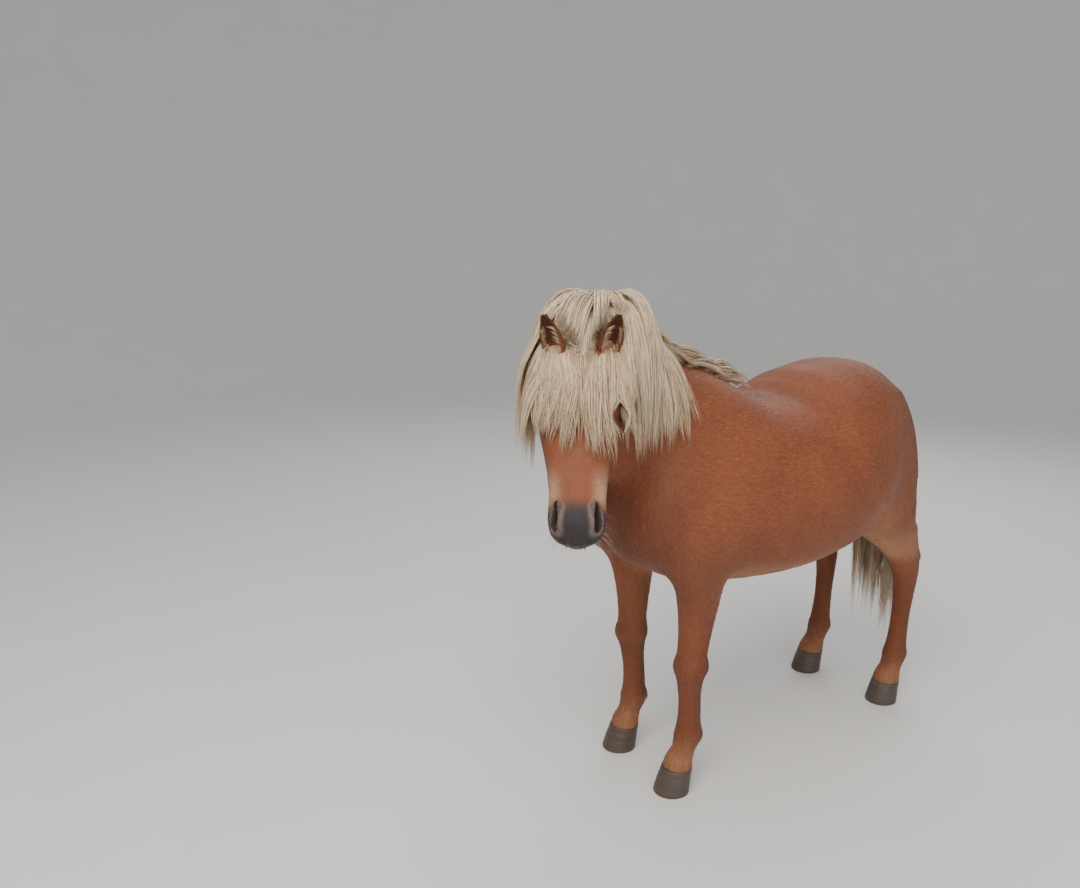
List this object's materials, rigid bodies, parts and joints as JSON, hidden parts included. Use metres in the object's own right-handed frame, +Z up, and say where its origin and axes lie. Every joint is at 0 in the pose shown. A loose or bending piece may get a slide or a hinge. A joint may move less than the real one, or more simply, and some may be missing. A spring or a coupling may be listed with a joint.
{
  "type": "shetland pony",
  "caption": "Life-size standing Shetland pony with its head turned and lowered, thick forelock, mane and tail.",
  "frame": {"origin": "On the ground, under the middle of the pony's box", "axes": "+X is forward, +Y the pony's left, +Z up"},
  "size_m": [1.3648, 0.5554, 1.1931],
  "materials": {
    "coat": "short flat chestnut hair",
    "points": "short dark chestnut hair",
    "hair": "long flaxen hair",
    "horn": "hoof horn",
    "eye": "wet dark eye"
  },
  "bodies": {
    "root": {"torso": "coat", "neck": "hair", "head": "hair", "tail": "hair", "ear_left": "points", "ear_right": "points", "eye_left": "eye", "eye_right": "eye", "fore_leg_left": "coat", "fore_leg_right": "coat", "hind_leg_left": "coat", "hind_leg_right": "coat", "fore_hoof_left": "horn", "fore_hoof_right": "horn", "hind_hoof_left": "horn", "hind_hoof_right": "horn"}
  },
  "joints": []
}
